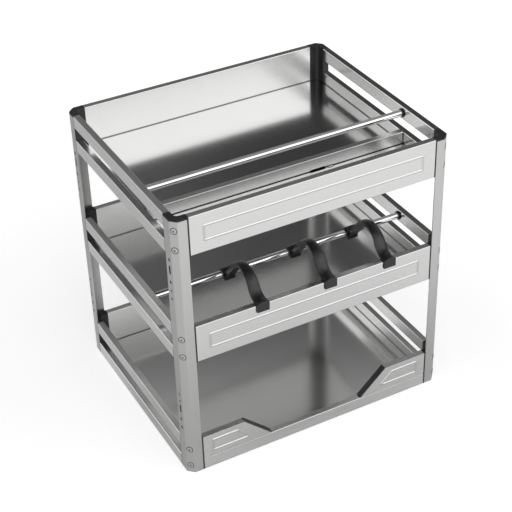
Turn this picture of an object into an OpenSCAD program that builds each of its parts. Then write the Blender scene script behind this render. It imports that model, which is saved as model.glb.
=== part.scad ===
// Three tier pull-out spice rack: folded steel trays between four corner posts.
// Millimetres, +Z up. X runs along the embossed front, the front faces -Y.
// The origin lies under the middle of the whole rack, on the surface that it stands on.

/* [Frame] */
// Overall width, over the posts
frame_w = 430; // [380:1:560]
// Overall depth, over the posts
frame_d = 354; // [340:1:500]
// Overall height, to the top of the corner caps
frame_h = 435; // [425:1:480]
// Underside of the middle tray above the floor
middle_z = 199; // [165:1:205]

/* [Trays] */
// Height of the walls round each tray
wall_h = 60; // [54:0.5:64]
// Depth of the folded walls and rails
wall_t = 10; // [8:0.5:11]
// Height of the low side wall and of the rail above it
band_h = 20; // [14:0.5:22]
// Sheet thickness of the walls and floors
sheet = 0.8; // [0.6:0.1:0.9]
// Outside radius of the folded edges
fold_r = 1.1; // [1:0.1:2]
// How far the floor's edge reaches into the walls
floor_tab = 3; // [2:0.5:5]

/* [Posts] */
// Sheet thickness of the posts
post_t = 1.5; // [1:0.1:2]
// Width of the post's leg along the side
post_side = 25; // [24:0.1:30]
// Width of the post's leg along the front or back
post_front = 22.3; // [21:0.1:28]
// Size of the chamfer that carries the screws
chamfer = 9.2; // [8:0.1:10.5]
// Outside radius of the post's two bends
bend_r = 4; // [3:0.25:5]
// Thickness of the cap over the post's end
cap_t = 3; // [2:0.25:4]
// Radius inside each corner block
block_fillet = 6; // [3:0.5:7]
// Length of the spigots that plug into the walls
spigot_l = 12; // [6:0.5:20]

/* [Post fixings] */
// Distance of the mounting holes from the front or back face
hole_inset = 15.5; // [14.5:0.1:17]
// Radius of the larger mounting holes
hole_r = 2.5; // [2:0.1:3]
// Radius of the smaller mounting holes
pilot_r = 2; // [1.5:0.1:2.5]
// Length of the upright slots, end to end
slot_l = 14; // [8:0.5:18]
// Height of the highest mounting hole
upper_hole_z = 369; // [366:0.5:371]
// Height of the highest hole of the lower set
lower_hole_z = 140; // [138:0.5:142]
// Diameter of the screw heads
head_d = 8.4; // [6:0.1:9]
// Height of the screw heads
head_h = 1; // [0.6:0.1:2.4]
// Radius of the screw shanks
shank_r = 1.9; // [1.5:0.1:2.2]
// Length of the screw shanks
shank_l = 8.6; // [5:0.1:9]

/* [Front] */
// Height of the framed field's lower edge above the tray
field_low = 17; // [8:0.5:22]
// Height of the framed field
field_h = 25.5; // [12:0.5:30]
// Distance of the framed field from the ends of the panel
field_inset = 18.8; // [12:0.1:40]
// How far the raised beads round the fields stand out
field_out = 0.8; // [0.4:0.1:1.2]
// Width of the bevel on each side of a bead
field_bevel = 1.6; // [0.8:0.1:2.5]
// Radius of the beads' corners
field_corner = 3; // [1:0.5:5]
// Length of the left wing's top edge
wing_left = 67.7; // [55:0.1:90]
// Length of the right wing's top edge
wing_right = 71.1; // [55:0.1:90]
// How far each wing's slanted end runs out
wing_slant = 43; // [25:0.5:60]
// Thickness of the black trim on the slanted ends
trim_t = 1.6; // [1:0.1:2.5]

/* [Rods] */
// Diameter of the chrome rods
rod_d = 10; // [8:0.5:12]
// Distance of the rods from the front face
rod_y = 106; // [85:1:125]
// Depth of the rods' axis under the top of the walls
rod_drop = 10; // [8:0.5:12]
// Wall thickness of the ferrules at the rods' ends
ferrule_t = 1.2; // [0.8:0.1:3]
// Length of the ferrules
ferrule_l = 2.5; // [1.5:0.5:8]
// Height of the low partition under the top rod
partition_h = 19.4; // [12:0.1:24]

/* [Dividers] */
// Distance of the left divider's middle from the left face
divider_left = 127.5; // [115:0.5:140]
// Distance of the centre divider's middle from the left face
divider_centre = 236.3; // [225:0.5:249]
// Distance of the right divider's middle from the left face
divider_right = 334.6; // [325:0.1:340]
// Width of the dividers' arms
arm_w = 19; // [17.5:0.1:22]
// Width of the arm where it meets the eye
root_w = 14; // [10:0.5:17]
// Thickness of the arm where it meets the eye
root_t = 9; // [7:0.1:10]
// Thickness of the arm's bow
arm_t = 5.2; // [4.6:0.1:6]
// Rise of the arm's crowned back over its edges
crown = 3; // [1:0.1:3.2]
// Outside radius of the arm's bow
bow_r = 35; // [32:0.5:37]
// Height of the bow's crest above the rod
crest_h = 45; // [43:0.5:48]
// Radius of the hollow between the bow and the lip
hollow_r = 20; // [15:0.5:24]
// Slope of the arm's back, down to the eye
back_slope = 50; // [40:1:58]
// Height of the hook in front of the panel
hook_h = 16; // [13:0.5:18]
// Thickness of the hook in front of the panel
hook_t = 1.8; // [1.2:0.1:3]
// Outside diameter of the arms' eyes
eye_d = 16.4; // [16:0.1:18]

/* [Hidden] */
$fn = 64;
sides = ["left", "right"];
ends = ["front", "back"];
tiers = ["bottom", "middle", "top"];
tier_z = [0, middle_z, frame_h - wall_h];
corners = [for (e = ends) for (s = sides) str(e, "_", s)];
divider_names = ["left", "centre", "right"];
divider_x = [divider_left, divider_centre, divider_right];

seat_gap = 0.1;     // between pieces that plug into each other
run_gap = 0.05;     // radial clearance of a running fit
side_gap = 0.2;     // end clearance between a turning eye and its collars
hook_gap = 0.7;     // between the hook and the panel's face
rest_gap = 0.4;     // between the hook and the flange under it
seam = 0.5;         // joint line between the sill and the wings above it
seam_side = 1;      // black line beside the side leg
seam_front = 2.4;   // black line beside the front leg
lip_in = 0.3;       // how far those lines lie behind the steel
eps = 1;            // how far a cut runs past the surface it cuts

block_x = post_front + seam_front;
block_y = post_side + seam_side;
floor_top = 2 * sheet;
inner_w = frame_w - 2 * wall_t;
inner_d = frame_d - 2 * wall_t;
panel_l = frame_w - 2 * block_x;
hook_out = hook_gap + hook_t;
middle_y = (frame_d - hook_out) / 2;
bend_step = 6;      // flat steps round one bend

// Points along an arc, from one angle to another
function arc(centre, r, from, to, steps = bend_step) =
    [for (i = [0:steps])
        let (a = from + (to - from) * i / steps) centre + r * [cos(a), sin(a)]];

function flip(points) = [for (i = [len(points) - 1:-1:0]) points[i]];

// The chamfered outline of a corner, at a depth under the steel's face
bend_far = chamfer + bend_r * (sqrt(2) - 1);
function corner_edge(depth) = concat(
    arc([bend_r, bend_far], bend_r - depth, 180, 225),
    arc([bend_far, bend_r], bend_r - depth, 225, 270));

// The inner outline of a corner block, from its front end to its side end
function block_inside() = concat(
    [[block_x, wall_t]],
    arc([wall_t + block_fillet, wall_t + block_fillet], block_fillet, 270, 180),
    [[wall_t, block_y]]);

module rounded_rect(w, h, r) {
    polygon(concat(
        arc([r, r], r, 180, 270),
        arc([w - r, r], r, 270, 360),
        arc([w - r, h - r], r, 0, 90),
        arc([r, h - r], r, 90, 180)));
}

// Moves a piece drawn from the left front corner into the rack's own frame
module in_frame() {
    translate([-frame_w / 2, -middle_y, 0]) children();
}

// Repeats a corner piece, drawn at the left front, at another corner
module at_corner(end, side) {
    right = side == "right" ? 1 : 0;
    back = end == "back" ? 1 : 0;
    in_frame()
        translate([right * frame_w, back * frame_d, 0])
            mirror([right, 0, 0]) mirror([0, back, 0]) children();
}

// Puts a piece drawn on the left side on either side
module at_side(side) {
    at_corner("front", side) children();
}

// Extrudes an outline drawn as depth and height along X
module along_x(length) {
    rotate([90, 0, 90]) linear_extrude(length) children();
}

// Extrudes an outline drawn as depth and height along Y
module along_y(length) {
    translate([0, length, 0]) rotate([90, 0, 0]) linear_extrude(length) children();
}

// Steel

// Outline of a folded hollow wall
module hollow_section(h) {
    difference() {
        rounded_rect(wall_t, h, fold_r);
        translate([sheet, sheet])
            rounded_rect(wall_t - 2 * sheet, h - 2 * sheet, fold_r - sheet);
    }
}

// The same with the slit at its foot that takes the floor's edge
module wall_section(h) {
    difference() {
        hollow_section(h);
        translate([wall_t - fold_r - eps, sheet - seat_gap / 2])
            square([fold_r + 2 * eps, sheet + seat_gap]);
    }
}

module post_sheet() {
    linear_extrude(frame_h - cap_t)
        polygon(concat(
            [[0, post_side]],
            corner_edge(0),
            [[post_front, 0], [post_front, post_t]],
            flip(corner_edge(post_t)),
            [[post_t, post_side]]));
}

// Heights of the two screws at each tray
screw_z = [for (z = tier_z) for (part = [13, 43]) z + part];

// Moves to a screw's place on the chamfer, with its axis into the corner
module at_screws() {
    for (z = screw_z)
        translate([chamfer / 2, chamfer / 2, z]) rotate([0, 90, 45]) children();
}

// Drills a hole through the side leg
module side_hole(z, r) {
    translate([-eps, hole_inset, z]) rotate([0, 90, 0]) cylinder(r = r, h = post_t + 2 * eps);
}

// Cuts an upright slot through the side leg
module side_slot(z) {
    travel = slot_l / 2 - hole_r;
    side_hole(z - travel, hole_r);
    side_hole(z + travel, hole_r);
    translate([-eps, hole_inset - hole_r, z - travel])
        cube([post_t + 2 * eps, 2 * hole_r, 2 * travel]);
}

// Heights of the fixings under the highest hole of each set
slot_under = 16;
hole_under = 36;
upper_pilots_under = [50, 63];
lower_pilots_under = [0, 12];
lower_slot_under = 25.5;
lower_holes_under = [45, 60.5];

module post(end, side) {
    at_corner(end, side)
        color("silver")
            difference() {
                post_sheet();
                at_screws()
                    translate([0, 0, -eps]) cylinder(r = shank_r + 3 * seat_gap, h = post_t + 2 * eps);
                side_hole(upper_hole_z, hole_r);
                side_slot(upper_hole_z - slot_under);
                side_hole(upper_hole_z - hole_under, hole_r);
                for (drop = upper_pilots_under) side_hole(upper_hole_z - drop, pilot_r);
                for (drop = lower_pilots_under) side_hole(lower_hole_z - drop, pilot_r);
                side_slot(lower_hole_z - lower_slot_under);
                for (drop = lower_holes_under) side_hole(lower_hole_z - drop, hole_r);
            }
}

module back_wall(tier) {
    in_frame()
        translate([block_x, frame_d, tier_z[tier]])
            mirror([0, 1, 0]) color("gainsboro") along_x(panel_l) wall_section(wall_h);
}

// A bead pressed out of the front face along an outline, with round corners and a bevel on both sides
module raised_bead(points) {
    skin = sheet / 2;
    face = skin / 8;
    slope = field_bevel / field_out;
    across = 2 * field_bevel + face;
    color("gainsboro")
        difference() {
            hull() {
                translate([0, skin, 0])
                    rotate([90, 0, 0]) linear_extrude(skin) rounded_outline(points, field_corner);
                translate([0, face - field_out, 0])
                    rotate([90, 0, 0])
                        linear_extrude(face)
                            offset(delta = -field_bevel) rounded_outline(points, field_corner);
            }
            hull()
                for (depth = [sheet, -field_out - skin])
                    translate([0, depth, 0])
                        rotate([90, 0, 0])
                            linear_extrude(face)
                                offset(delta = -across - slope * depth)
                                    rounded_outline(points, field_corner);
        }
}

module rounded_outline(points, r) {
    offset(r = r, $fn = 4 * bend_step) offset(delta = -r) polygon(points);
}

module front_panel(tier) {
    in_frame()
        translate([block_x, 0, tier_z[tier]])
            color("gainsboro") {
                along_x(panel_l) wall_section(wall_h);
                left = field_inset;
                right = panel_l - field_inset;
                top = field_low + field_h;
                raised_bead([[left, field_low], [right, field_low], [right, top], [left, top]]);
            }
}

module front_sill() {
    in_frame()
        translate([block_x, 0, 0]) color("gainsboro") along_x(panel_l) wall_section(band_h);
}

wing_low = band_h + seam;
wing_rise = wall_h - wing_low;
slant_angle = atan2(wing_rise, wing_slant);
field_end = 13.8;     // margin of a wing's framed field from its upright end
field_edge = 8.5;     // margin from its top and bottom edges
field_slope = 14;     // margin from its slanted end

// Outline of a wing with its top edge this long, drawn in by a margin at each edge
function wing_points(top, end, edge, slope) =
    let (low = wing_low + edge,
         high = wall_h - edge,
         shift = slope / sin(slant_angle),
         run = wing_slant / wing_rise)
    [[end, low],
     [top + (wall_h - low) * run - shift, low],
     [top + (wall_h - high) * run - shift, high],
     [end, high]];

module wing_solid(top) {
    difference() {
        translate([0, wall_t, 0])
            rotate([90, 0, 0]) linear_extrude(wall_t) polygon(wing_points(top, 0, 0, 0));
        translate([-eps, sheet, wing_low + sheet])
            cube([top + wing_slant + 2 * eps, wall_t - 2 * sheet, wing_rise - 2 * sheet]);
    }
    raised_bead(wing_points(top, field_end, field_edge, field_slope));
}

function wing_top(side) = side == "left" ? wing_left : wing_right;

module front_wing(side) {
    at_side(side) translate([block_x, 0, 0]) color("gainsboro") wing_solid(wing_top(side));
}

module side_wall(tier, side) {
    at_side(side)
        translate([0, block_y, tier_z[tier]])
            color("silver") along_y(frame_d - 2 * block_y) wall_section(band_h);
}

rod_hole_r = rod_d / 2 + 2 * seat_gap;

// Trays that carry a rod have a hole for it in the rail's inner skin
function has_rod(tier) = tier > 0;
function rod_z(tier) = tier_z[tier] + wall_h - rod_drop;

module side_rail(tier, side) {
    at_side(side)
        color("silver")
            difference() {
                translate([0, block_y, tier_z[tier] + wall_h - band_h])
                    along_y(frame_d - 2 * block_y) hollow_section(band_h);
                if (has_rod(tier))
                    translate([wall_t / 2, rod_y, rod_z(tier)])
                        rotate([0, 90, 0]) cylinder(r = rod_hole_r, h = wall_t);
            }
}

// Outline of a floor, with round corners and edges that reach into the walls
module floor_outline() {
    corner = block_fillet;
    translate([wall_t + seat_gap, wall_t + seat_gap])
        rounded_rect(inner_w - 2 * seat_gap, inner_d - 2 * seat_gap, corner);
    translate([block_x + seat_gap, wall_t - floor_tab])
        square([panel_l - 2 * seat_gap, inner_d + 2 * floor_tab]);
    translate([wall_t - floor_tab, block_y + seat_gap])
        square([inner_w + 2 * floor_tab, frame_d - 2 * block_y - 2 * seat_gap]);
}

module tray_floor(tier) {
    in_frame()
        translate([0, 0, tier_z[tier] + sheet]) color("dimgray") linear_extrude(sheet) floor_outline();
}

module rod(tier) {
    reach = sheet + seat_gap;
    in_frame()
        translate([reach, rod_y, rod_z(tier)])
            rotate([0, 90, 0]) color("white") cylinder(r = rod_d / 2, h = frame_w - 2 * reach);
}

// Slot and locating tab at the foot of the partition
slot_from = 253;
slot_run = 25;
slot_h = 2.5;
tab_from = 282;
tab_run = 8;
tab_out = 3;

module partition() {
    in_frame()
        translate([wall_t + seat_gap, rod_y - wall_t / 2, tier_z[2] + floor_top])
            color("silver") {
                difference() {
                    along_x(inner_w - 2 * seat_gap)
                        difference() {
                            rounded_rect(wall_t, partition_h, fold_r);
                            translate([sheet, -eps])
                                square([wall_t - 2 * sheet, partition_h - sheet + eps]);
                        }
                    translate([slot_from, -eps, -eps]) cube([slot_run, sheet + 2 * eps, slot_h + eps]);
                }
                translate([tab_from, -tab_out, 0]) cube([tab_run, tab_out + sheet, sheet]);
            }
}

// Plastic

// Plug that slides into a hollow wall, drawn as depth and height
module spigot(low, high) {
    gap = sheet + seat_gap;
    translate([gap, low + gap]) square([wall_t - 2 * gap, high - low - 2 * gap]);
}

// The spigots of one block along the front and along the side
module spigots(tier, end) {
    foot = floor_top + seat_gap - sheet;
    split = tier == 0 && end == "front";
    translate([block_x - eps, 0, 0])
        along_x(spigot_l + eps) {
            spigot(foot, split ? band_h : wall_h);
            if (split) spigot(wing_low, wall_h);
        }
    translate([0, block_y - eps, 0])
        along_y(spigot_l + eps) {
            spigot(foot, band_h);
            spigot(wall_h - band_h, wall_h);
        }
}

module block_body() {
    under = post_t + seat_gap;
    linear_extrude(wall_h)
        polygon(concat(
            [[lip_in, block_y], [lip_in, post_side + seat_gap], [under, post_side + seat_gap]],
            corner_edge(under),
            [[post_front + seat_gap, under], [post_front + seat_gap, lip_in], [block_x, lip_in]],
            block_inside()));
}

// Cap over the post's end, with a chamfered rim
module block_cap() {
    rim = cap_t / 4;
    for (step = [0, rim])
        translate([0, 0, wall_h - cap_t + seat_gap])
            linear_extrude(cap_t - seat_gap - rim + step)
                polygon(concat([[step, block_y]], corner_edge(step), [[block_x, step]], block_inside()));
}

module corner_block(tier, end, side) {
    at_corner(end, side)
        color("#202022")
            difference() {
                translate([0, 0, tier_z[tier]]) {
                    block_body();
                    spigots(tier, end);
                    if (tier == 2) block_cap();
                }
                at_screws() cylinder(r = shank_r + seat_gap, h = shank_l + 2 * seat_gap);
            }
}

// Black trim that closes a wing's slanted end: a face plate with a plug behind it
module cutout_trim(side) {
    length = norm([wing_slant, wing_rise]);
    plug_t = 5;
    gap = sheet + seat_gap;
    plug_end = (gap + plug_t * cos(slant_angle)) / sin(slant_angle) + gap;
    at_side(side)
        translate([block_x + wing_top(side) + wing_slant, 0, wing_low])
            rotate([0, slant_angle - 180, 0])
                mirror([0, 0, 1])
                    color("#1b1b1d") {
                        along_x(length) rounded_plate(wall_t, trim_t);
                        translate([plug_end, gap, -plug_t])
                            cube([length - 2 * plug_end, wall_t - 2 * gap, plug_t + trim_t / 2]);
                    }
}

// Outline of the trim's face plate, with its two outer edges rounded
module rounded_plate(w, t) {
    r = t / 2;
    polygon(concat(
        [[0, 0], [w, 0]],
        arc([w - r, t - r], r, 0, 90),
        arc([r, t - r], r, 90, 180)));
}

module ferrules(tier) {
    in_frame()
        for (x = [wall_t, frame_w - wall_t - ferrule_l])
            translate([x, rod_y, rod_z(tier)])
                rotate([0, 90, 0])
                    color("#202022")
                        difference() {
                            cylinder(r = rod_d / 2 + seat_gap + ferrule_t, h = ferrule_l);
                            translate([0, 0, -eps])
                                cylinder(r = rod_d / 2 + seat_gap, h = ferrule_l + 2 * eps);
                        }
}

// Fasteners

dome_h = 0.6 * head_h;      // the dome's share of a screw head's height
dome_r = (pow(head_d / 2, 2) + pow(dome_h, 2)) / (2 * dome_h);
recess_l = 3.6;             // length of the cross recess
recess_w = 0.8;
recess_h = 0.7 * head_h;

module screw() {
    difference() {
        union() {
            rotate_extrude()
                intersection() {
                    translate([0, dome_r - head_h]) circle(r = dome_r);
                    translate([0, -head_h]) square([head_d / 2, head_h]);
                }
            cylinder(r = shank_r, h = shank_l);
        }
        for (turn = [0, 90])
            rotate([0, 0, turn])
                translate([-recess_l / 2, -recess_w / 2, -head_h - eps])
                    cube([recess_l, recess_w, recess_h + eps]);
    }
}

module post_screws(end, side) {
    at_corner(end, side) color("darkgray") at_screws() screw();
}

// Dividers, drawn round the rod's axis with the arm towards the front

sleeve_l = arm_w + eps;      // the sleeves end a little outside the arms
journal_r = rod_d / 2 + 1.2;
collar_r = journal_r + 1.2;
collar_l = 1.2;
eye_w = sleeve_l - 2 * collar_l - 2 * side_gap;
eye_r = eye_d / 2;
jaw_in = 0.3;          // how far the eye's straight jaws lie inside its round outline
mouth = 1.7 * journal_r;
blank_w = arm_w + 2 * eps;    // the arm before its sides are cut
tuck = 0.3;            // how deep one stretch of the arm dips into the next
crest_y = -53;         // how far in front of the rod the crest lies
wide_from = -92;       // how far in front of the rod the arm has its full width
crown_exact = (pow(arm_w / 2, 2) + pow(crown, 2)) / (2 * crown);
crown_r = round(crown_exact * 100) / 100;
face_y = -rod_y;
flange_z = rod_drop;
lip_t = arm_t - 0.4;
lip_low = flange_z + rest_gap;
lip_high = lip_low + lip_t;

// Middles of the bow and of the hollow in front of it, as depth and height
bow_mid = [crest_y, crest_h - bow_r];
hollow_z = lip_high - tuck + hollow_r;
hollow_y = crest_y - sqrt(pow(bow_r + hollow_r - tuck, 2) - pow(hollow_z - bow_mid[1], 2));
hollow_mid = [hollow_y, hollow_z];
front_turn = atan2(hollow_z - bow_mid[1], hollow_y - crest_y);
back_turn = 90 - back_slope;

// Moves to a divider's place on the middle rod
module at_divider(k) {
    in_frame() translate([divider_x[k], rod_y, rod_z(1)]) children();
}

module divider_sleeve(k) {
    at_divider(k)
        rotate([0, 90, 0])
            color("#202022")
                difference() {
                    union() {
                        cylinder(r = journal_r, h = sleeve_l, center = true);
                        for (turn = [0, 180])
                            rotate([turn, 0, 0])
                                translate([0, 0, sleeve_l / 2 - collar_l])
                                    cylinder(r = collar_r, h = collar_l);
                    }
                    cylinder(r = rod_d / 2 + run_gap, h = sleeve_l + 2 * eps, center = true);
                }
}

// Turns a section about an axis along X, from one angle to another
module arm_turn(middle, from, to) {
    translate([0, middle[0], middle[1]])
        rotate([90, 0, 90])
            rotate([0, 0, from])
                rotate_extrude(angle = to - from) children();
}

// The arm's crowned section, with its back at a distance from the axis it turns about
module crowned_outside(back, thick) {
    intersection() {
        translate([back - crown_r, 0]) circle(r = crown_r);
        translate([back - thick, -blank_w / 2]) square([thick, blank_w]);
    }
}

// The same where the axis lies above the arm
module crowned_inside(back, thick) {
    intersection() {
        translate([back + crown_r, 0]) circle(r = crown_r);
        translate([back, -blank_w / 2]) square([thick, blank_w]);
    }
}

// The bow over the crest
module bow() {
    back_overlap = 9;
    front_overlap = 6;
    difference() {
        arm_turn(bow_mid, back_turn - back_overlap, front_turn + front_overlap)
            crowned_outside(bow_r, root_t);
        under_bow();
    }
}

// The round hollow under the bow, off its middle, so that the arm thickens towards the eye
module under_bow() {
    forward = 0.8 * (root_t - arm_t);
    upward = 0.9 * arm_t;
    translate([-arm_w, bow_mid[0] - forward, bow_mid[1] + upward])
        rotate([0, 90, 0]) cylinder(r = bow_r - 2 * arm_t + tuck, h = 2 * arm_w);
}

// The straight stretch from the bow down into the eye
module back_strap() {
    reach = bow_r - tuck;
    length = cos(back_slope) * -(crest_y + reach * cos(back_turn))
        + sin(back_slope) * (bow_mid[1] + reach * sin(back_turn));
    translate([0, crest_y, bow_mid[1]])
        rotate([90, 0, 90])
            rotate([0, 0, back_turn])
                rotate([90, 0, 0]) linear_extrude(length) crowned_outside(reach, root_t - 2 * tuck);
}

// The hollow stretch from the bow's front onto the lip
module front_hollow() {
    arm_turn(hollow_mid, 270, front_turn + 180) crowned_inside(hollow_r, arm_t - 3 * tuck);
}

// Cuts the arm's sides, narrower towards the eye
module cut_sides() {
    intersection() {
        children();
        translate([0, 0, -arm_w])
            linear_extrude(2 * crest_h)
                polygon([
                    [root_w / 2, eye_r], [root_w / 2, crest_y],
                    [arm_w / 2, wide_from], [arm_w / 2, 2 * face_y],
                    [-arm_w / 2, 2 * face_y], [-arm_w / 2, wide_from],
                    [-root_w / 2, crest_y], [-root_w / 2, eye_r]]);
    }
}

// Crowned lip over the flange, with the hook in front of the panel
module hook() {
    bottom = lip_high - hook_h;
    back_y = hollow_y + 5;
    corner_r = 1.2;
    outline = concat(
        [[face_y - hook_gap, bottom], [face_y - hook_gap, lip_low]],
        [[back_y, lip_low], [back_y, lip_high]],
        arc([face_y - hook_out + corner_r, lip_high - corner_r], corner_r, 90, 180),
        [[face_y - hook_out, bottom]]);
    intersection() {
        translate([-blank_w / 2, 0, 0]) along_x(blank_w) polygon(outline);
        translate([0, 2 * face_y, lip_high - crown_r]) along_y(2 * rod_y) circle(r = crown_r);
    }
}

// The eye round the sleeve, open at the bottom between two straight jaws
module eye() {
    jaw = eye_r - jaw_in;
    rotate([0, 90, 0]) cylinder(r = eye_r, h = eye_w, center = true);
    translate([-eye_w / 2, -jaw, -jaw]) cube([eye_w, 2 * jaw, jaw]);
}

module divider_arm(k) {
    at_divider(k)
        color("#1b1b1d")
            difference() {
                union() {
                    cut_sides() {
                        bow();
                        back_strap();
                        front_hollow();
                        hook();
                    }
                    eye();
                }
                rotate([0, 90, 0]) cylinder(r = journal_r + run_gap, h = arm_w + 2 * eps, center = true);
                for (turn = [0, 180])
                    rotate([0, 0, turn])
                        translate([eye_w / 2, 0, 0])
                            rotate([0, 90, 0]) cylinder(r = collar_r + rest_gap, h = arm_w);
                translate([-arm_w, -mouth / 2, -2 * eye_r]) cube([2 * arm_w, mouth, 2 * eye_r]);
            }
}

for (e = ends, s = sides) {
    post(e, s);
    post_screws(e, s);
    for (t = [0, 1, 2])
        corner_block(t, e, s);
}
for (t = [0, 1, 2]) {
    back_wall(t);
    tray_floor(t);
    for (s = sides) {
        side_wall(t, s);
        side_rail(t, s);
    }
}
for (t = [1, 2]) {
    front_panel(t);
    rod(t);
    ferrules(t);
}
for (s = sides) {
    front_wing(s);
    cutout_trim(s);
}
front_sill();
partition();
for (k = [0, 1, 2]) {
    divider_sleeve(k);
    divider_arm(k);
}
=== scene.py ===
import math
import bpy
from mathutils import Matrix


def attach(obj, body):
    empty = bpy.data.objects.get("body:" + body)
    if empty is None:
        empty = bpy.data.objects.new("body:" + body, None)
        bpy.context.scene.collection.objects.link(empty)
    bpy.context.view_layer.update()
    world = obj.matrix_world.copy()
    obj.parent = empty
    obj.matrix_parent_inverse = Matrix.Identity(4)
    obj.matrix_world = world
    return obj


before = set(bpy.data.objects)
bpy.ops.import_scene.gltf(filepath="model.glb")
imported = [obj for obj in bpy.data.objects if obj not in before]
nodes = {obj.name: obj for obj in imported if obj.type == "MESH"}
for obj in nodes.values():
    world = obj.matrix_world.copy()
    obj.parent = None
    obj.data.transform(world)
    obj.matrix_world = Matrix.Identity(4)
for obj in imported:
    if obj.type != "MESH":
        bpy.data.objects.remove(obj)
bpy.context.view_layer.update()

from fnmatch import fnmatch

import bmesh
import bpy
from mathutils import Matrix, Vector

MM = 0.001
UP = Vector((0, 0, 1))

# Camera, at the photograph's viewing angle

PICTURE = 512                       # pixels
FOCAL_PIXELS = 1347.2
SENSOR = 36                         # mm
AZIMUTH = math.radians(-27.41)
ELEVATION = math.radians(34.46)
ROLL = math.radians(-1.92)
DISTANCE = 2039 * MM
SIDEWAYS = -3.2 * MM
UPWARDS = -11.1 * MM
NEAREST, FARTHEST = 0.05, 40
AIM = Vector((0, 1.25 * MM, 217.5 * MM))


def make_camera():
    """Puts the camera on a sphere round the rack's middle, rolled a little as in the photograph."""
    flat = math.cos(ELEVATION)
    back = Vector((math.sin(AZIMUTH) * flat, -math.cos(AZIMUTH) * flat, math.sin(ELEVATION)))
    right = Vector((math.cos(AZIMUTH), math.sin(AZIMUTH), 0))
    up = back.cross(right)
    turned_right = right * math.cos(ROLL) + up * math.sin(ROLL)
    turned_up = up * math.cos(ROLL) - right * math.sin(ROLL)
    place = AIM + back * DISTANCE + right * SIDEWAYS + up * UPWARDS
    data = bpy.data.cameras.new("camera")
    data.sensor_width = SENSOR
    data.lens = FOCAL_PIXELS / PICTURE * SENSOR
    data.clip_start, data.clip_end = NEAREST, FARTHEST
    camera = bpy.data.objects.new("camera", data)
    columns = (*turned_right, 0), (*turned_up, 0), (*back, 0), (*place, 1)
    camera.matrix_world = Matrix(columns).transposed()
    bpy.context.scene.collection.objects.link(camera)
    bpy.context.scene.camera = camera


# Node trees, of materials and of modifiers

def put(tree, value, socket):
    """Links a socket's value to another socket, or sets a plain value there."""
    if isinstance(value, bpy.types.NodeSocket):
        tree.links.new(value, socket)
    else:
        socket.default_value = value


def fill(tree, node, **settings):
    """Gives a node its settings: a name with a capital is a socket's, with _ for a space."""
    for name, value in settings.items():
        if name[0].isupper():
            put(tree, value, node.inputs[name.replace("_", " ")])
        else:
            setattr(node, name, value)
    return node


def add(tree, kind, **settings):
    return fill(tree, tree.nodes.new(kind), **settings)


def fill_in_order(tree, node, values):
    for value, socket in zip(values, node.inputs):
        put(tree, value, socket)
    return node.outputs


def number(tree, operation, *values):
    """The result of a Math node on sockets or plain numbers."""
    return fill_in_order(tree, add(tree, "ShaderNodeMath", operation=operation), values)["Value"]


def vector(tree, operation, *values, result="Vector"):
    """The result of a Vector Math node on sockets or plain vectors."""
    node = add(tree, "ShaderNodeVectorMath", operation=operation)
    return fill_in_order(tree, node, values)[result]


def mapped(tree, value, low, high, from_low=0.3, from_high=0.7):
    """A value taken to another range, from where most of a noise's values lie or a given range."""
    return add(tree, "ShaderNodeMapRange", clamp=True, Value=value, From_Min=from_low,
               From_Max=from_high, To_Min=low, To_Max=high).outputs["Result"]


def opaque(shade, factor=1):
    """A plain colour with its alpha, dimmed by a factor."""
    return (*(c * factor for c in shade), 1)


def grey(level):
    return opaque((level, level, level))


def mixed(tree, share, first, second):
    """A colour between two, by a share from 0 to 1; each colour is a socket or plain."""
    node = add(tree, "ShaderNodeMix", data_type="RGBA", Factor=share)
    colours = [s for s in node.inputs if s.type == "RGBA"]
    put(tree, first, colours[0])
    put(tree, second, colours[1])
    return next(s for s in node.outputs if s.type == "RGBA")


def ramp(tree, value, stops):
    """A grey level that follows a value between given stops."""
    node = add(tree, "ShaderNodeValToRGB", Fac=value)
    elements = node.color_ramp.elements
    while len(elements) < len(stops):
        elements.new(0.5)
    for element, (place, level) in zip(elements, stops):
        element.position = place
        element.color = grey(level)
    return node.outputs["Color"]


# Materials

def new_material(name):
    material = bpy.data.materials.new(name)
    material.use_nodes = True
    tree = material.node_tree
    return material, tree, tree.nodes["Principled BSDF"]


def noise(tree, cycles, detail, roughness=0.55):
    """Noise in object coordinates, with its own number of cycles a metre along each axis."""
    place = add(tree, "ShaderNodeTexCoord").outputs["Object"]
    stretched = add(tree, "ShaderNodeMapping", Vector=place, Scale=cycles).outputs["Vector"]
    return add(tree, "ShaderNodeTexNoise", Vector=stretched, Scale=1, Detail=detail,
               Roughness=roughness).outputs["Fac"]


def along(axis, long_cycles, fine_cycles):
    """Cycles a metre for streaks that run along an axis."""
    return [long_cycles if a == axis else fine_cycles for a in "xyz"]


def even(cycles):
    return cycles, cycles, cycles


def bumped(tree, height, strength, depth):
    return add(tree, "ShaderNodeBump", Height=height, Strength=strength,
               Distance=depth).outputs["Normal"]


def shaded_in_creases(tree, colour, reach, power, alone=False):
    """Painted shade: darkens a colour in seams and corners, as far as they are closed in; if alone,
    only the piece's own surfaces count.
    """
    crease = add(tree, "ShaderNodeAmbientOcclusion", samples=6, only_local=alone, Distance=reach)
    light = number(tree, "POWER", crease.outputs["AO"], power)
    return add(tree, "ShaderNodeVectorMath", operation="SCALE", Vector=colour,
               Scale=light).outputs["Vector"]


FLANK_TILT = 0.894       # cosine between the normals of a bead's flank and of the front face
FLANK_LEEWAY = 0.05
# painted shade: how much darker the beads' flanks are coloured
FLANK_PAINTED_SHADE = 0.88


def paint_flank_shade(tree, colour, shade):
    """Painted shade: darker colour on the flanks of the beads in the front, picked by the way they
    face, which tones down their highlight.
    """
    normal = add(tree, "ShaderNodeNewGeometry").outputs["Normal"]
    forward = add(tree, "ShaderNodeSeparateXYZ", Vector=normal).outputs["Y"]
    flank = number(tree, "COMPARE", forward, -FLANK_TILT, FLANK_LEEWAY)
    return mixed(tree, flank, colour, opaque(shade, FLANK_PAINTED_SHADE))


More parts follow.
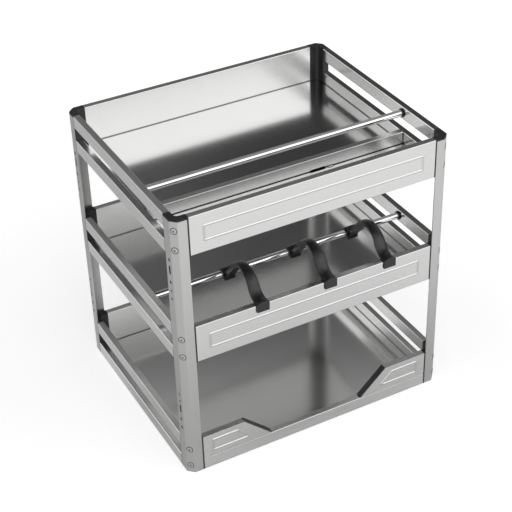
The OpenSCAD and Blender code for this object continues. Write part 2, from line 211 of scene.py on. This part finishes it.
def brushed_steel(name, axis, shade, roughness, spread, anisotropy,
                  reach=2.5 * MM, alone=False, shaded_flanks=False):
    """Stainless sheet with hair-fine brush lines along one axis and faint blotches, with painted
    shade in its seams and corners and, if asked, on the beads' flanks.
    """
    material, tree, shader = new_material(name)
    hairs = noise(tree, along(axis, 30, 1700), detail=2)
    streaks = noise(tree, along(axis, 14, 520), detail=2)
    blotches = noise(tree, even(11), detail=4)
    lines = number(tree, "ADD", mapped(tree, hairs, 0, 0.8), mapped(tree, streaks, 0, 0.2))
    colour = mixed(tree, lines, opaque(shade, factor=0.96), opaque(shade))
    # painted shade on the beads' flanks, by their facing
    if shaded_flanks:
        colour = paint_flank_shade(tree, colour, shade)
    gloss = mapped(tree, lines, roughness - spread, roughness + spread, 0, 1)
    uneven = mapped(tree, blotches, -spread / 2, spread / 2)
    tangent = add(tree, "ShaderNodeTangent", direction_type="RADIAL", axis=axis.upper())
    fill(tree, shader, Metallic=1, Anisotropic=anisotropy, Tangent=tangent.outputs["Tangent"],
         # the base colour carries painted shade in seams and corners
         Base_Color=shaded_in_creases(tree, colour, reach, power=2, alone=alone),
         Roughness=number(tree, "ADD", gloss, uneven),
         Normal=bumped(tree, mapped(tree, hairs, 0, 1), strength=0.004, depth=0.01 * MM))
    return material


def chrome(name):
    """Bright plating with hair-fine polishing marks round the rod."""
    material, tree, shader = new_material(name)
    marks = noise(tree, along("x", 900, 60), detail=2)
    blotches = mapped(tree, noise(tree, even(30), detail=3), 0, 1)
    fill(tree, shader, Metallic=1,
         Base_Color=mixed(tree, blotches, opaque(DULL_CHROME), opaque(CHROME)),
         Roughness=mapped(tree, marks, 0.02, 0.05),
         Normal=bumped(tree, marks, strength=0.04, depth=0.01 * MM))
    return material


def plated(name):
    """Nickel plating of the small screws, duller in the low spots of its grain, with painted shade
    in the crease round each head.
    """
    material, tree, shader = new_material(name)
    grain = noise(tree, even(900), detail=3)
    colour = mixed(tree, mapped(tree, grain, 0, 1), opaque(DULL_NICKEL), opaque(NICKEL))
    fill(tree, shader, Metallic=1,
         # painted shade in the crease round each screw's head
         Base_Color=shaded_in_creases(tree, colour, reach=1.2 * MM, power=3),
         Roughness=mapped(tree, grain, 0.2, 0.36),
         Normal=bumped(tree, grain, strength=0.1, depth=0.02 * MM))
    return material


def plastic(name, shade, roughness, grain_depth):
    """Moulded plastic with a fine spark-eroded grain and slightly rubbed patches."""
    material, tree, shader = new_material(name)
    grain = noise(tree, even(1900), detail=3, roughness=0.7)
    rubbed = noise(tree, even(45), detail=4)
    lighter = [c * 1.5 + 0.002 for c in shade]
    rough = number(tree, "ADD", mapped(tree, grain, roughness - 0.04, roughness + 0.04),
                   mapped(tree, rubbed, -0.06, 0.04))
    fill(tree, shader, Specular_IOR_Level=0.45, Roughness=rough,
         Base_Color=mixed(tree, mapped(tree, rubbed, 0, 1), opaque(shade), opaque(lighter)),
         Normal=bumped(tree, grain, strength=0.25, depth=grain_depth))
    return material


PANEL_STEEL = (0.69, 0.69, 0.685)
INNER_STEEL = (0.74, 0.74, 0.735)
FLOOR_STEEL = (0.66, 0.66, 0.655)
POST_STEEL = (0.56, 0.56, 0.555)
CHROME, DULL_CHROME = (0.88, 0.88, 0.88), (0.80, 0.80, 0.80)
NICKEL, DULL_NICKEL = (0.62, 0.62, 0.61), (0.50, 0.50, 0.49)
BLACK_BLOCK = (0.012, 0.012, 0.013)
BLACK_DIVIDER = (0.010, 0.010, 0.011)
materials = {
    # name, direction of the brushing, colour, roughness and its spread, anisotropy
    "front": brushed_steel("brushed_front", "x", PANEL_STEEL, 0.26, 0.03, 0.5, shaded_flanks=True),
    "wall_x": brushed_steel("brushed_wall_x", "x", INNER_STEEL, 0.24, 0.02, 0.5),
    "wall_y": brushed_steel("brushed_wall_y", "y", INNER_STEEL, 0.17, 0.02, 0.4),
    # painted shade: the left rails, the same part as the right ones, get a darker colour than the
    # right rails' steel
    "rail_left": brushed_steel("brushed_rail_left", "y", PANEL_STEEL, 0.34, 0.02, 0.85),
    "floor": brushed_steel("brushed_floor", "x", FLOOR_STEEL, 0.14, 0.01, 0.2),
    # painted shade reaching 40 mm into the posts' inner corners, from their own surfaces only
    "post": brushed_steel("brushed_post", "z", POST_STEEL, 0.33, 0.03, 0.5,
                          reach=40 * MM, alone=True),
    "chrome": chrome("rod_chrome"),
    "screw": plated("screw_plating"),
    # name, colour, roughness, depth of the grain
    "block": plastic("block_plastic", BLACK_BLOCK, 0.42, 0.03 * MM),
    "divider": plastic("divider_plastic", BLACK_DIVIDER, 0.31, 0.02 * MM),
}


# What the CAD nodes wear

# Pattern for the start of the name, material, slot, width of the softened edges in mm;
# the first row that fits a node counts
FINISHES = (
    ("post_", "post", "post_steel", 0.35),
    ("block_", "block", "block_plastic", 0.35),
    ("back_wall", "wall_x", "wall_steel", 0.35),
    ("front_panel", "front", "wall_steel", 0.25),
    ("front_sill", "front", "wall_steel", 0.3),
    ("front_wing", "front", "wall_steel", 0.25),
    ("cutout_trim", "block", "block_plastic", 0.25),
    ("side_wall", "wall_y", "wall_steel", 0.4),
    # the left rails wear a darker copy of the rails' steel, which is painted shade
    ("side_rail_*_left", "rail_left", "wall_steel", 0.4),
    ("side_rail", "wall_y", "wall_steel", 0.4),
    ("floor_", "floor", "floor_steel", 0),
    ("rod_", "chrome", "rod_chrome", 0),
    ("ferrules_", "block", "block_plastic", 0.3),
    ("partition", "wall_x", "wall_steel", 0.15),
    ("screws_", "screw", "screw_steel", 0.12),
    ("divider_sleeve", "divider", "divider_plastic", 0.8),
    ("divider_arm", "divider", "divider_plastic", 0.5),
)
SAME_POINT = 0.002 * MM             # points nearer than this are welded
SAME_PLANE = math.radians(0.8)      # faces that differ by less become one
SHARP = math.radians(40)            # edges from this angle on are softened
SMOOTH = 35                         # degrees below which shading runs on over an edge
SMOOTH_FRONT = 20                   # the same on the fronts, whose beads stay crisp

FOLDED = "side_wall"                # start of the names of the sheets with rounded folds
FOLD_RADIUS = 1.4 * MM
FOLD_LENGTH = 40 * MM               # a fold's edge is longer than this
FOLD_ANGLE = math.radians(60)       # and turns by more than this


def modifier_group(name):
    """A node group for a modifier, with its geometry's way in and way out."""
    group = bpy.data.node_groups.new(name, "GeometryNodeTree")
    for way in ("INPUT", "OUTPUT"):
        group.interface.new_socket("Geometry", in_out=way, socket_type="NodeSocketGeometry")
    start, end = add(group, "NodeGroupInput"), add(group, "NodeGroupOutput")
    return group, start.outputs[0], end.inputs[0]


def compared(group, value, operation, limit):
    node = add(group, "FunctionNodeCompare", data_type="FLOAT", operation=operation)
    return fill_in_order(group, node, (value, limit))["Result"]


def edge_angle(group):
    return add(group, "GeometryNodeInputMeshEdgeAngle").outputs["Unsigned Angle"]


def smooth_group(limit):
    """Node group that shades smooth across every edge below a limit in degrees."""
    group, start, end = modifier_group(f"smooth_below_{limit}")
    below = compared(group, edge_angle(group), "LESS_EQUAL", math.radians(limit))
    faces = add(group, "GeometryNodeSetShadeSmooth", domain="FACE", Geometry=start)
    edges = add(group, "GeometryNodeSetShadeSmooth", domain="EDGE", Shade_Smooth=below,
                Geometry=faces.outputs[0])
    put(group, edges.outputs[0], end)
    return group


def fold_group():
    """Node group that gives long sharp edges a weight, so that only the folds are rounded."""
    group, start, end = modifier_group("long_edges")
    ends = add(group, "GeometryNodeInputMeshEdgeVertices").outputs
    span = vector(group, "DISTANCE", ends["Position 1"], ends["Position 2"], result="Value")
    tests = (compared(group, span, "GREATER_THAN", FOLD_LENGTH),
             compared(group, edge_angle(group), "GREATER_THAN", FOLD_ANGLE))
    both = fill_in_order(group, add(group, "FunctionNodeBooleanMath", operation="AND"), tests)
    marked = add(group, "GeometryNodeStoreNamedAttribute", data_type="FLOAT", domain="EDGE",
                 Geometry=start, Name="bevel_weight_edge", Value=both[0])
    put(group, marked.outputs["Geometry"], end)
    return group


def modify(node, name, kind, **settings):
    """Adds a modifier and sets its properties."""
    modifier = node.modifiers.new(name, kind)
    for key, value in settings.items():
        setattr(modifier, key, value)


def dress_nodes():
    """Gives each CAD node its material, softened edges and smooth shading."""
    smooth, smooth_front = smooth_group(SMOOTH), smooth_group(SMOOTH_FRONT)
    folds = fold_group()
    for name, node in nodes.items():
        _, material, slot, width = next(f for f in FINISHES if fnmatch(name, f[0] + "*"))
        node.data.materials.clear()
        node.data.materials.append(materials[material])
        modify(node, "weld", "WELD", merge_threshold=SAME_POINT)
        if width:
            modify(node, "flat", "DECIMATE", decimate_type="DISSOLVE", angle_limit=SAME_PLANE)
            if name.startswith(FOLDED):
                modify(node, "mark", "NODES", node_group=folds)
                modify(node, "fold", "BEVEL", width=FOLD_RADIUS, segments=3,
                       limit_method="WEIGHT", use_clamp_overlap=False)
            modify(node, "edge", "BEVEL", width=width * MM, segments=2, limit_method="ANGLE",
                   angle_limit=SHARP, use_clamp_overlap=True)
        modify(node, "shade", "NODES", node_group=smooth_front if material == "front" else smooth)
        if width:
            modify(node, "even", "WEIGHTED_NORMAL", keep_sharp=True)


# Dark rings of painted shade round the screw heads, which only the scene has

RING_SECTION = ((3.75, 0), (5.0, 0), (5.05, 0.15), (4.8, 0.38), (3.75, 0.38))   # radius, height
RING_STEPS = 40


def islands(node):
    """The points of each separate solid in a node's mesh, in the shared frame."""
    parent = list(range(len(node.data.vertices)))

    def root(i):
        while parent[i] != i:
            parent[i] = parent[parent[i]]
            i = parent[i]
        return i

    places = {}
    for vertex in node.data.vertices:
        key = tuple(round(c / MM, 2) for c in vertex.co)
        parent[root(vertex.index)] = root(places.setdefault(key, vertex.index))
    for edge in node.data.edges:
        parent[root(edge.vertices[0])] = root(edge.vertices[1])
    groups = {}
    for vertex in node.data.vertices:
        groups.setdefault(root(vertex.index), []).append(node.matrix_world @ vertex.co)
    return list(groups.values())


def add_ring(shape, middle, out):
    """Turns the dark rings' section round a screw's axis."""
    across = out.cross(UP)
    rows = []
    for step in range(RING_STEPS):
        turn = 2 * math.pi * step / RING_STEPS
        spoke = across * math.cos(turn) + UP * math.sin(turn)
        rows.append([shape.verts.new(middle + (spoke * radius + out * height) * MM)
                     for radius, height in RING_SECTION])
    for here, there in zip(rows, rows[1:] + rows[:1]):
        for i in range(len(RING_SECTION)):
            shape.faces.new((here[i - 1], here[i], there[i], there[i - 1]))


def shade_rings():
    """A thin black ring under each screw's head, a dark sheet that paints the shade round it, as
    one piece for each post.
    """
    for name, screws in nodes.items():
        if not name.startswith("screws_"):
            continue
        corner = name.removeprefix("screws_")
        end, side = corner.split("_")
        out = Vector((-1 if side == "left" else 1, -1 if end == "front" else 1, 0)).normalized()
        post = nodes["post_" + corner]
        seat = max((post.matrix_world @ v.co).dot(out) for v in post.data.vertices)
        shape = bmesh.new()
        for screw in islands(screws):
            middle = sum(screw, Vector()) / len(screw)
            add_ring(shape, middle + out * (seat - middle.dot(out)), out)
        bmesh.ops.recalc_face_normals(shape, faces=shape.faces)
        mesh = bpy.data.meshes.new("screw_shade_" + corner)
        shape.to_mesh(mesh)
        shape.free()
        # black, so that the ring paints the shade round the head
        mesh.materials.append(materials["block"])
        rings = bpy.data.objects.new("screw_shade_" + corner, mesh)
        bpy.context.scene.collection.objects.link(rings)
        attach(rings, "rack")


# Studio

SKY_SCALE = 2    # brightest level, as ramps hold levels from 0 to 1
# Directions round the rack in degrees, 0 behind it and 90 to its right
AZIMUTHS = (-180, -135, -90, -60, -40, -30, -20, 0, 22, 27, 45, 90, 135, 180)
# Levels of the studio's light in these directions, at some elevations in degrees
SKY = (
    (0, (1.48, 1.01, 0.85, 1.10, 1.60, 0.90, 0.50, 0.48, 0.50, 0.50, 0.51, 1.02, 1.55, 1.48)),
    (25, (1.84, 0.93, 0.85, 1.30, 1.90, 0.35, 0.12, 0.13, 0.10, 0.05, 0.03, 0.99, 1.95, 1.84)),
    (30, (1.84, 0.95, 0.87, 1.30, 1.90, 0.35, 0.12, 0.14, 0.10, 0.05, 0.03, 0.99, 1.95, 1.84)),
    (33, (1.86, 1.02, 0.88, 1.05, 1.40, 1.10, 0.15, 0.15, 0.12, 0.06, 0.04, 1.00, 1.95, 1.86)),
    (39, (1.86, 1.02, 0.88, 1.05, 1.50, 1.40, 0.20, 0.12, 0.10, 0.12, 0.14, 1.00, 1.95, 1.86)),
    (42, (1.80, 1.06, 0.89, 0.95, 1.30, 1.20, 0.60, 0.65, 0.65, 0.60, 0.75, 0.95, 1.90, 1.80)),
    (50, (1.10, 0.95, 0.80, 0.70, 0.60, 0.50, 0.20, 0.20, 0.20, 0.20, 0.20, 0.30, 0.90, 1.10)),
    (70, (0.50, 0.50, 0.40, 0.30, 0.20, 0.20, 0.20, 0.20, 0.20, 0.20, 0.20, 0.20, 0.30, 0.50)),
)


def make_world():
    """A studio that is brightest in front on the right, dark behind, and white for the camera."""
    world = bpy.data.worlds.new("studio")
    bpy.context.scene.world = world
    world.use_nodes = True
    tree = world.node_tree
    direction = add(tree, "ShaderNodeTexCoord").outputs["Generated"]
    x, y, z = add(tree, "ShaderNodeSeparateXYZ", Vector=direction).outputs
    turn = mapped(tree, number(tree, "ARCTAN2", x, y), 0, 1, -math.pi, math.pi)
    elevation = number(tree, "ARCSINE", z)
    bands = []
    for angle, levels in SKY:
        stops = [((azimuth + 180) / 360, level / SKY_SCALE)
                 for azimuth, level in zip(AZIMUTHS, levels)]
        bands.append((math.radians(angle), ramp(tree, turn, stops)))
    light = bands[0][1]
    for (below, _), (above, band) in zip(bands, bands[1:]):
        light = mixed(tree, mapped(tree, elevation, 0, 1, below, above), light, band)
    for_camera = add(tree, "ShaderNodeLightPath").outputs["Is Camera Ray"]
    fill(tree, tree.nodes["Background"], Strength=SKY_SCALE,
         Color=mixed(tree, for_camera, light, grey(1 / SKY_SCALE)))


FLOOR_HALF = 6
FLOOR_DROP = 0.3 * MM               # keeps it clear of the faces that the rack stands on
FLOOR_SHADE = 0.74
CAMERA_GLOW = 0.5                   # makes the floor white for the camera
# Painted light: a glow of the floor that only the steel's reflections see, by distance from the
# rack in metres
NEAR, FAR = 0.2, 0.7
FRONT_GLOW = 0.48                   # far off, toward the brightest part of the sky
FRONT_DIRECTION = (0.35, -0.94, 0)
FRONT_EDGES = (-0.5, 0.8)           # cosines to that direction where it starts and is full
BACK_GLOW = 0.4                     # close by, behind the rack


def make_floor():
    """A plain white floor that keeps the rack's soft shadow, with a painted glow that only the
    steel's reflections see.
    """
    corners = [(x * FLOOR_HALF, y * FLOOR_HALF, 0) for x, y in ((-1, -1), (1, -1), (1, 1), (-1, 1))]
    mesh = bpy.data.meshes.new("floor")
    mesh.from_pydata(corners, [], [(0, 1, 2, 3)])
    floor = bpy.data.objects.new("studio_floor", mesh)
    floor.location.z = -FLOOR_DROP
    bpy.context.scene.collection.objects.link(floor)
    material, tree, shader = new_material("studio_floor")
    place = add(tree, "ShaderNodeTexCoord").outputs["Object"]
    distance = vector(tree, "LENGTH", place, result="Value")
    away = vector(tree, "NORMALIZE", place)
    forward = vector(tree, "DOT_PRODUCT", away, FRONT_DIRECTION, result="Value")
    backward = vector(tree, "DOT_PRODUCT", away, (0, 1, 0), result="Value")
    front = number(tree, "MULTIPLY", mapped(tree, distance, 0, 1, NEAR, FAR),
                   mapped(tree, forward, 0, FRONT_GLOW, *FRONT_EDGES))
    back = number(tree, "MULTIPLY", mapped(tree, distance, 1, 0, NEAR, FAR),
                  mapped(tree, backward, 0, BACK_GLOW, 0, 1))
    path = add(tree, "ShaderNodeLightPath").outputs
    # painted light: the floor glows in the steel's reflections only
    painted_glow_in_metal = number(tree, "MULTIPLY", path["Is Glossy Ray"], number(tree, "ADD", front, back))
    for_camera = number(tree, "MULTIPLY", path["Is Camera Ray"], CAMERA_GLOW)
    fill(tree, shader, Base_Color=grey(FLOOR_SHADE), Roughness=1, Specular_IOR_Level=0,
         Emission_Color=grey(1), Emission_Strength=number(tree, "ADD", painted_glow_in_metal, for_camera))
    mesh.materials.append(material)


make_camera()
bpy.context.scene.view_settings.view_transform = "Standard"
dress_nodes()
shade_rings()
make_world()
make_floor()
